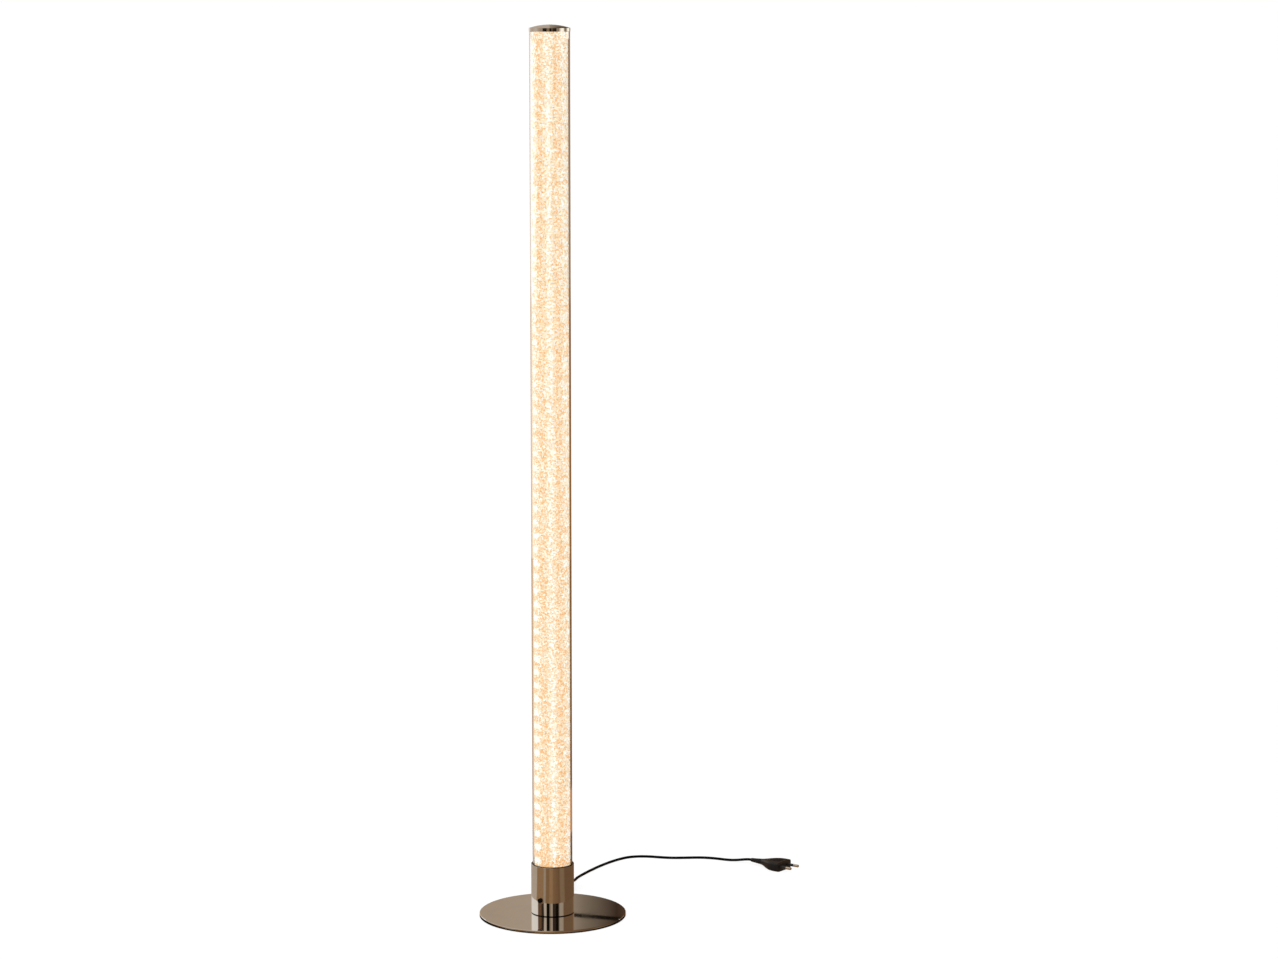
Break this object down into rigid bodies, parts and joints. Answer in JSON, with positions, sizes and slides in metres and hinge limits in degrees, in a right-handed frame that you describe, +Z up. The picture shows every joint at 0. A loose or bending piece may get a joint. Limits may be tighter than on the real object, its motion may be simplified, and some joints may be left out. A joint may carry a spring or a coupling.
{
  "type": "bubble tube floor lamp",
  "caption": "Slim floor lamp: clear acrylic tube with a glowing crackled liner in a chromed socket on a thin round base, with a push button and a coiled mains lead.",
  "frame": {"origin": "middle of the base's underside, on the floor", "axes": "+Z up along the tube; the front, seen in the picture, is -Y; +X is to the right of the picture; the cord leaves towards +Y"},
  "size_m": [0.4542, 0.4148, 1.209],
  "materials": {
    "foam": "dense closed-cell foam",
    "chrome": "mirror-bright chrome plating",
    "screw_steel": "zinc-plated steel",
    "white_abs": "satin moulded plastic",
    "black_rubber": "matt silicone",
    "clear_acrylic": "polished clear acrylic",
    "crackle_film": "crackled clear film, lit from inside",
    "mast_aluminium": "extruded, satin",
    "strip_white": "white solder mask",
    "led_phosphor": "yellow phosphor resin",
    "board_green": "green solder mask",
    "driver_parts": "moulded parts",
    "terminal_green": "moulded green",
    "wire_sheath": "soft sheath",
    "black_plastic": "satin moulded black",
    "brass": "plain brass",
    "cord_black": "smooth black sheath",
    "tie_fabric": "woven hook-and-loop strap",
    "pin_nickel": "nickel-plated brass"
  },
  "bodies": {
    "lamp": {"floor_ring": "foam", "base_plate": "chrome", "base_screws": "screw_steel", "socket_sleeve": "chrome", "tube_holder": "white_abs", "tube_gasket": "black_rubber", "diffuser_tube": "clear_acrylic", "crackle_film": "crackle_film", "led_mast": "mast_aluminium", "led_strip_left": "strip_white", "led_strip_right": "strip_white", "leds_left": "led_phosphor", "leds_right": "led_phosphor", "cap_stopper": "white_abs", "stopper_seal": "black_rubber", "cap_screw": "screw_steel", "top_cap": "chrome", "driver_board": "board_green", "driver_parts": "driver_parts", "terminal_block": "terminal_green", "supply_wires": "wire_sheath", "led_wires": "wire_sheath", "switch_wires": "wire_sheath", "switch_bush": "chrome", "switch_nut": "screw_steel", "switch_body": "black_plastic", "switch_contacts": "brass", "switch_spring": "screw_steel", "strain_relief": "black_plastic", "gland_nut": "black_plastic", "cord_tail": "cord_black", "cord_lead": "cord_black", "cord_coil": "cord_black", "cord_run": "cord_black", "cord_tie": "tie_fabric", "plug_body": "black_plastic", "plug_pins": "pin_nickel"},
    "button": {"push_button": "black_plastic"}
  },
  "joints": [
    {"name": "button_press", "type": "slide", "parent": "lamp", "child": "button", "axis": [0.5736, 0.8192, 0], "range_m": [0, 0.0012], "stiffness_N_per_m": 600, "deforming": ["switch_spring"]}
  ]
}
